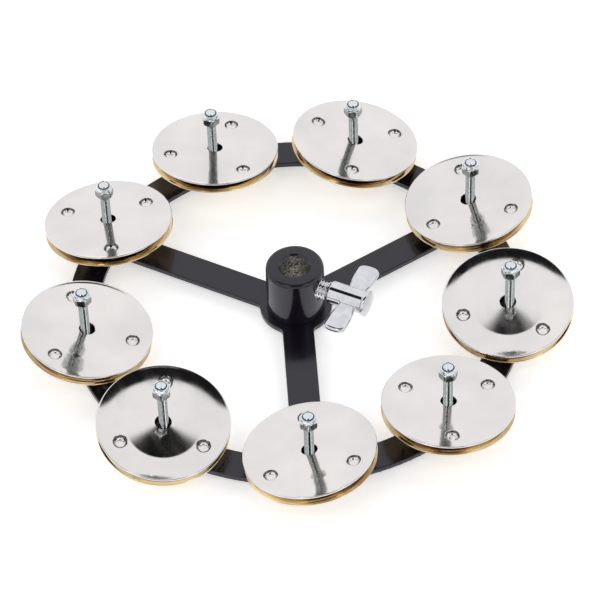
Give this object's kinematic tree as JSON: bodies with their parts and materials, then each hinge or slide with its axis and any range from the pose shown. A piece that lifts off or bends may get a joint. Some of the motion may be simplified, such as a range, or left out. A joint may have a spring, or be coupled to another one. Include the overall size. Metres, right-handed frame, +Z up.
{
  "type": "hi-hat tambourine",
  "caption": "Hi-hat tambourine: flat spoked steel ring with a rod clamp and wing screw, and loose pairs of dished metal jingles on bolts round the ring.",
  "frame": {"origin": "on the axis of the rod bore, at the underside of the ring plate", "axes": "+Z up along the rod bore, from the plate toward the lock nuts; -Y toward bolt station 1; the wing screw points to 29 degrees below +X"},
  "size_m": [0.2271, 0.2247, 0.038],
  "materials": {
    "powder_coat": "satin powder coat",
    "chrome": "polished",
    "zinc": "bright zinc plate",
    "sleeve": "moulded",
    "nylon": "moulded",
    "nickel_jingle": "bright nickel plate",
    "brass_jingle": "bright, slightly tarnished"
  },
  "bodies": {
    "root": {"frame_plate": "powder_coat", "hub_collar": "powder_coat", "jingle_bolts": "zinc", "clamp_nuts": "zinc", "spacer_sleeves": "sleeve", "lock_nuts": "zinc", "nylon_inserts": "nylon"},
    "screw_stud": {"wing_screw_stud": "chrome"},
    "screw_head": {"wing_head": "chrome"},
    "lower_1": {"lower_jingle_1": "brass_jingle"},
    "upper_1": {"upper_jingle_1": "nickel_jingle"},
    "lower_2": {"lower_jingle_2": "brass_jingle"},
    "upper_2": {"upper_jingle_2": "nickel_jingle"},
    "lower_3": {"lower_jingle_3": "brass_jingle"},
    "upper_3": {"upper_jingle_3": "nickel_jingle"},
    "lower_4": {"lower_jingle_4": "brass_jingle"},
    "upper_4": {"upper_jingle_4": "nickel_jingle"},
    "lower_5": {"lower_jingle_5": "brass_jingle"},
    "upper_5": {"upper_jingle_5": "nickel_jingle"},
    "lower_6": {"lower_jingle_6": "brass_jingle"},
    "upper_6": {"upper_jingle_6": "nickel_jingle"},
    "lower_7": {"lower_jingle_7": "brass_jingle"},
    "upper_7": {"upper_jingle_7": "nickel_jingle"},
    "lower_8": {"lower_jingle_8": "brass_jingle"},
    "upper_8": {"upper_jingle_8": "nickel_jingle"},
    "lower_9": {"lower_jingle_9": "brass_jingle"},
    "upper_9": {"upper_jingle_9": "nickel_jingle"}
  },
  "joints": [
    {"name": "screw_travel", "type": "slide", "parent": "root", "child": "screw_stud", "axis": [0.8746, -0.4848, 0], "range_m": [-0.00325, 0.004]},
    {"name": "wing_turn", "type": "hinge", "parent": "screw_stud", "child": "screw_head", "pos_m": [0.02257, -0.01251, 0.0172], "axis": [0.8746, -0.4848, 0], "range_deg": [-936, 1152]},
    {"name": "lower_slide_1", "type": "slide", "parent": "root", "child": "lower_1", "axis": [0, 0, 1], "range_m": [0, 0.0073]},
    {"name": "upper_slide_1", "type": "slide", "parent": "lower_1", "child": "upper_1", "axis": [0, 0, 1], "range_m": [0, 0.0073]},
    {"name": "lower_slide_2", "type": "slide", "parent": "root", "child": "lower_2", "axis": [0, 0, 1], "range_m": [0, 0.0073]},
    {"name": "upper_slide_2", "type": "slide", "parent": "lower_2", "child": "upper_2", "axis": [0, 0, 1], "range_m": [0, 0.0073]},
    {"name": "lower_slide_3", "type": "slide", "parent": "root", "child": "lower_3", "axis": [0, 0, 1], "range_m": [0, 0.0073]},
    {"name": "upper_slide_3", "type": "slide", "parent": "lower_3", "child": "upper_3", "axis": [0, 0, 1], "range_m": [0, 0.0073]},
    {"name": "lower_slide_4", "type": "slide", "parent": "root", "child": "lower_4", "axis": [0, 0, 1], "range_m": [0, 0.0073]},
    {"name": "upper_slide_4", "type": "slide", "parent": "lower_4", "child": "upper_4", "axis": [0, 0, 1], "range_m": [0, 0.0073]},
    {"name": "lower_slide_5", "type": "slide", "parent": "root", "child": "lower_5", "axis": [0, 0, 1], "range_m": [0, 0.0073]},
    {"name": "upper_slide_5", "type": "slide", "parent": "lower_5", "child": "upper_5", "axis": [0, 0, 1], "range_m": [0, 0.0073]},
    {"name": "lower_slide_6", "type": "slide", "parent": "root", "child": "lower_6", "axis": [0, 0, 1], "range_m": [0, 0.0073]},
    {"name": "upper_slide_6", "type": "slide", "parent": "lower_6", "child": "upper_6", "axis": [0, 0, 1], "range_m": [0, 0.0073]},
    {"name": "lower_slide_7", "type": "slide", "parent": "root", "child": "lower_7", "axis": [0, 0, 1], "range_m": [0, 0.0073]},
    {"name": "upper_slide_7", "type": "slide", "parent": "lower_7", "child": "upper_7", "axis": [0, 0, 1], "range_m": [0, 0.0073]},
    {"name": "lower_slide_8", "type": "slide", "parent": "root", "child": "lower_8", "axis": [0, 0, 1], "range_m": [0, 0.0073]},
    {"name": "upper_slide_8", "type": "slide", "parent": "lower_8", "child": "upper_8", "axis": [0, 0, 1], "range_m": [0, 0.0073]},
    {"name": "lower_slide_9", "type": "slide", "parent": "root", "child": "lower_9", "axis": [0, 0, 1], "range_m": [0, 0.0073]},
    {"name": "upper_slide_9", "type": "slide", "parent": "lower_9", "child": "upper_9", "axis": [0, 0, 1], "range_m": [0, 0.0073]}
  ],
  "couplings": [
    {"joint": "wing_turn", "follows": "screw_travel", "rad_per_m": 5026.5}
  ]
}
